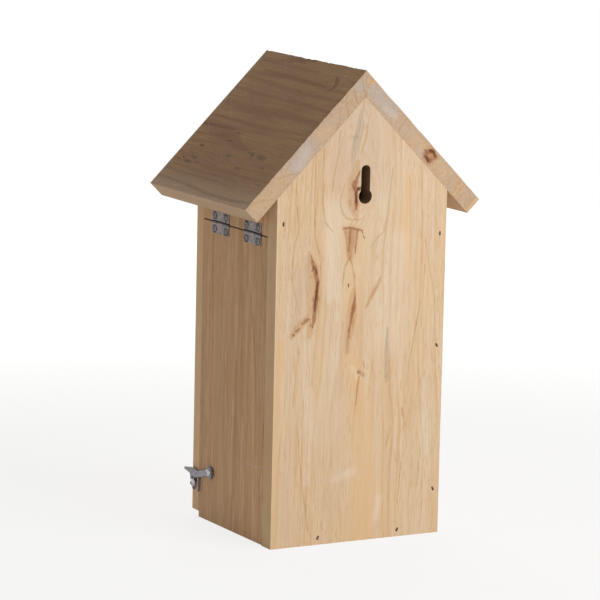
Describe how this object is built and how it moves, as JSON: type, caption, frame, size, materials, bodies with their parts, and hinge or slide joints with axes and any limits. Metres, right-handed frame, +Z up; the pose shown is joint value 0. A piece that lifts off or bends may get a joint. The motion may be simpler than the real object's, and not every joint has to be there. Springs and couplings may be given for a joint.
{
  "type": "bird nest box",
  "caption": "House-shaped wooden nest box with a pitched roof, a side door on butt hinges that swings up, a swing hook latch and a keyhole for hanging.",
  "frame": {"origin": "middle of the underside of the body, on the surface that the box stands on", "axes": "+Z up, +Y out of the back with the keyhole, -Y out of the entrance hole, +X out of the hinged door"},
  "size_m": [0.1686, 0.131, 0.3],
  "materials": {
    "pine": "sawn and sanded, untreated",
    "roof_pine": "planed, untreated, slightly darker",
    "zinc": "dull zinc plate",
    "steel": "bright zinc plate"
  },
  "bodies": {
    "box": {"back_panel": "pine", "front_panel": "pine", "fixed_side_panel": "pine", "door_header": "pine", "floor_panel": "pine", "roof_board_door_side": "roof_pine", "roof_board_fixed_side": "roof_pine", "front_hinge_upper_leaf": "zinc", "rear_hinge_upper_leaf": "zinc", "front_hinge_pin": "steel", "rear_hinge_pin": "steel", "hinge_header_screws": "steel", "latch_catch_screw": "steel", "back_panel_brads": "steel", "front_panel_brads": "steel", "roof_brads": "steel"},
    "door": {"door_panel": "pine", "front_hinge_lower_leaf": "zinc", "rear_hinge_lower_leaf": "zinc", "hinge_door_screws": "steel", "latch_pivot_screw": "steel"},
    "hook": {"latch_hook": "zinc"}
  },
  "joints": [
    {"name": "door_swing", "type": "hinge", "parent": "box", "child": "door", "pos_m": [0.06045, 0.0011, 0.1965], "axis": [0, -1, 0], "range_deg": [0, 85]},
    {"name": "hook_lift", "type": "hinge", "parent": "door", "child": "hook", "pos_m": [0.0625, -0.0276, 0.033], "axis": [-1, 0, 0], "range_deg": [0, 100]}
  ]
}
